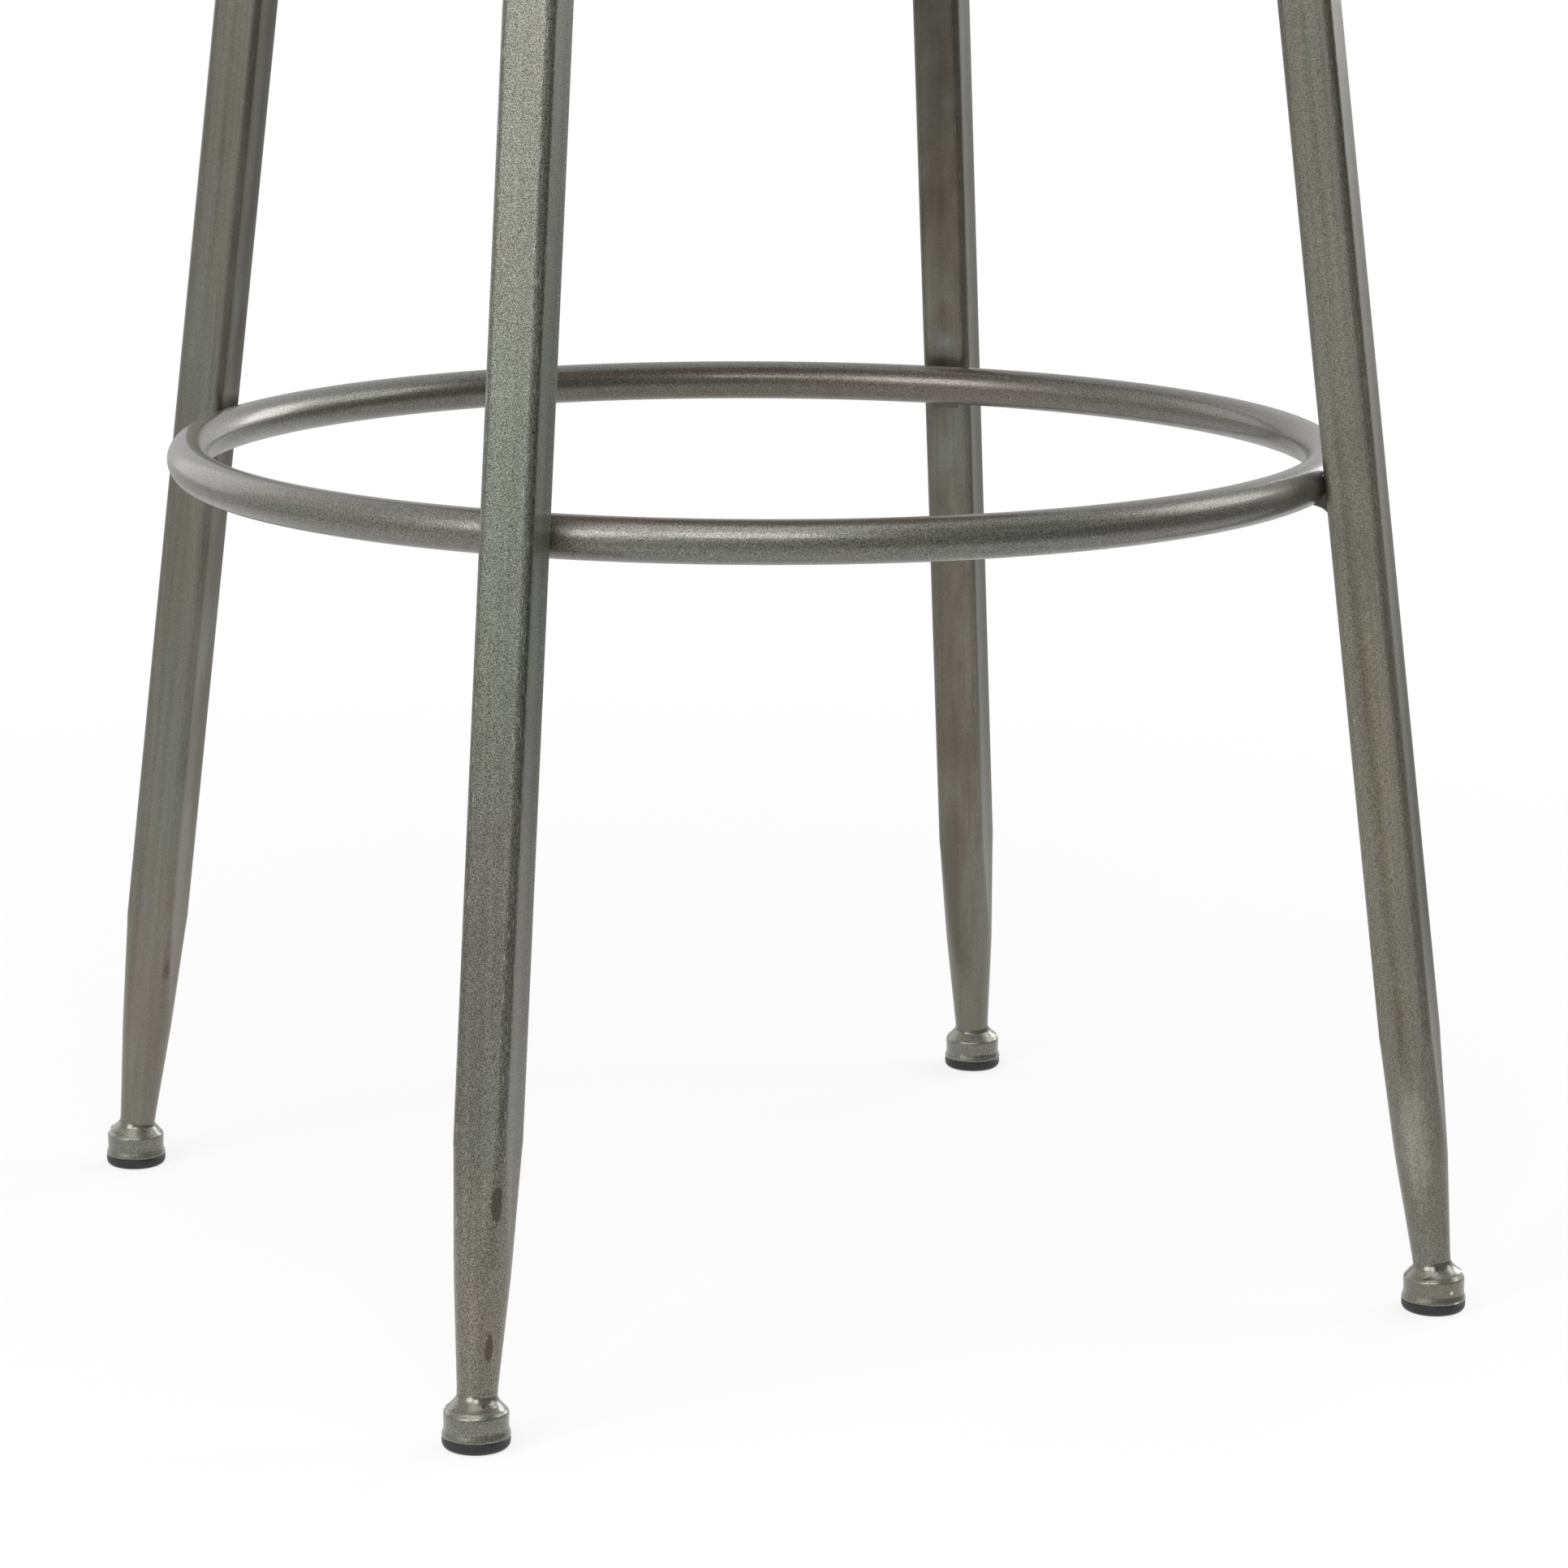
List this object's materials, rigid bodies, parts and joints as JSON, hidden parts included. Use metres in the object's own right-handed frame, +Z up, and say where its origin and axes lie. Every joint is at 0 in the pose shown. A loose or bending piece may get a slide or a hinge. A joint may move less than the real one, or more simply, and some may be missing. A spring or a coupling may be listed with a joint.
{
  "type": "counter stool",
  "caption": "Backless counter stool with a round wooden seat, splayed square-tube legs, a round foot ring and bell-shaped feet.",
  "frame": {"origin": "on the floor, at the centre of the four feet", "axes": "+Z up, -Y towards the front, +X to the right seen from the front"},
  "size_m": [0.4564, 0.4564, 0.66],
  "materials": {
    "gunmetal": "satin gunmetal coat with fine metallic flake",
    "weld": "glossy coated weld bead",
    "glide": "moulded black, worn matt",
    "plug": "moulded black",
    "seat_wood": "oiled hardwood staves",
    "zinc": "zinc plated"
  },
  "bodies": {
    "root": {"foot_cup_front_left": "gunmetal", "foot_cup_front_right": "gunmetal", "foot_cup_rear_left": "gunmetal", "foot_cup_rear_right": "gunmetal", "foot_glide_front_left": "glide", "foot_glide_front_right": "glide", "foot_glide_rear_left": "glide", "foot_glide_rear_right": "glide", "foot_ring": "gunmetal", "foot_ring_seam_weld": "weld", "foot_weld_front_left": "weld", "foot_weld_front_right": "weld", "foot_weld_rear_left": "weld", "foot_weld_rear_right": "weld", "hoop_weld_front_left": "weld", "hoop_weld_front_right": "weld", "hoop_weld_rear_left": "weld", "hoop_weld_rear_right": "weld", "leg_front_left": "gunmetal", "leg_front_right": "gunmetal", "leg_plug_front_left": "plug", "leg_plug_front_right": "plug", "leg_plug_rear_left": "plug", "leg_plug_rear_right": "plug", "leg_rear_left": "gunmetal", "leg_rear_right": "gunmetal", "ring_weld_front_left": "weld", "ring_weld_front_right": "weld", "ring_weld_rear_left": "weld", "ring_weld_rear_right": "weld", "seat_hoop": "gunmetal", "seat_hoop_seam_weld": "weld", "seat_screws": "zinc", "seat_stave_1": "seat_wood", "seat_stave_2": "seat_wood", "seat_stave_3": "seat_wood", "seat_stave_4": "seat_wood", "seat_stave_5": "seat_wood", "seat_strap_front": "gunmetal", "seat_strap_long": "gunmetal", "seat_strap_rear": "gunmetal", "seat_washers": "zinc", "strap_centre_welds": "weld", "strap_end_welds": "weld"}
  },
  "joints": []
}
